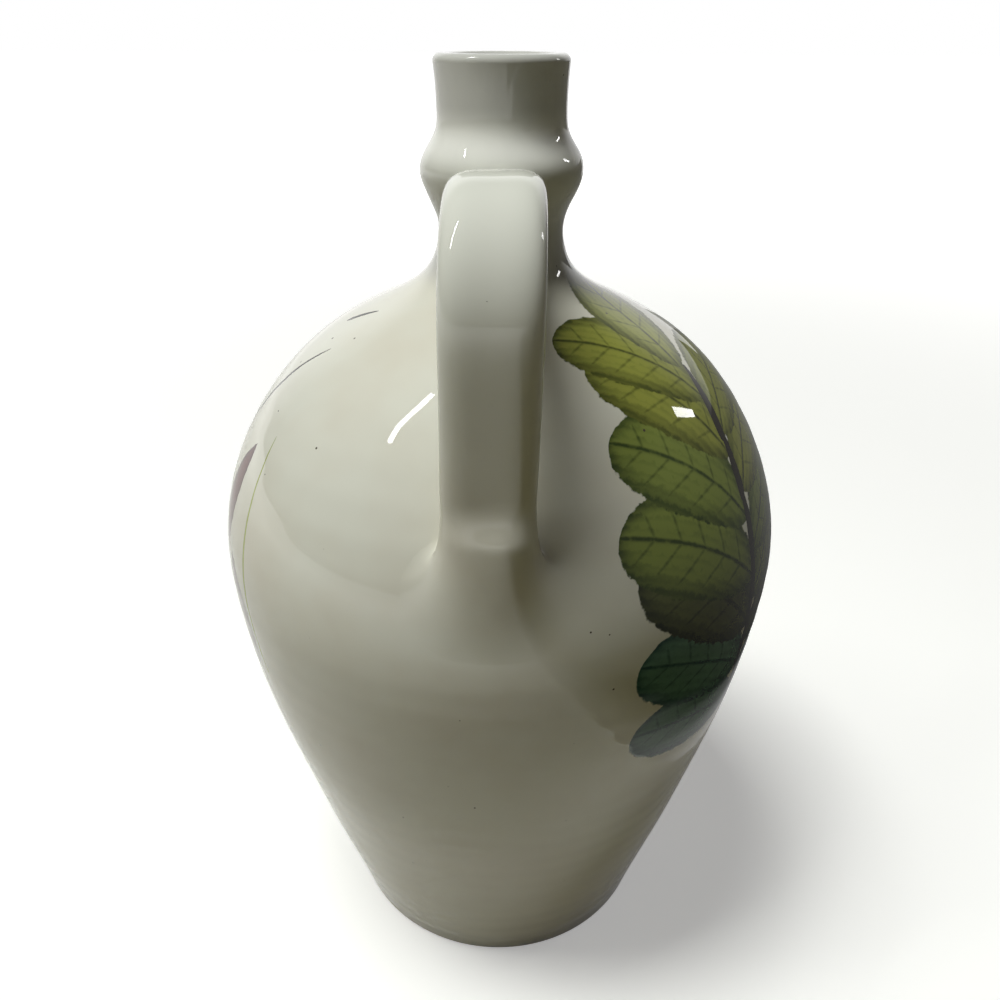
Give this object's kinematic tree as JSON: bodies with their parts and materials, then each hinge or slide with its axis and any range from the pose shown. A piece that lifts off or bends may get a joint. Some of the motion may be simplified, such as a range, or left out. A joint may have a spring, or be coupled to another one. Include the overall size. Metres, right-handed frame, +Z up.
{
  "type": "handled vase",
  "caption": "Free-standing glazed earthenware vase with a full belly, a narrow collared neck and a strap handle from collar to shoulder; holds stems or liquid.",
  "frame": {"origin": "centre of the flat foot, on the surface that the vase stands on", "axes": "+Z up along the axis of the thrown body; the handle stands towards -Y"},
  "size_m": [0.1828, 0.1828, 0.3],
  "materials": {
    "tin_glaze": "glossy warm-white tin glaze with painted green, brown and purple decoration"
  },
  "bodies": {
    "root": {"body": "tin_glaze", "neck": "tin_glaze", "neck_coil": "tin_glaze", "handle": "tin_glaze", "upper_root": "tin_glaze", "lower_root": "tin_glaze"}
  },
  "joints": []
}
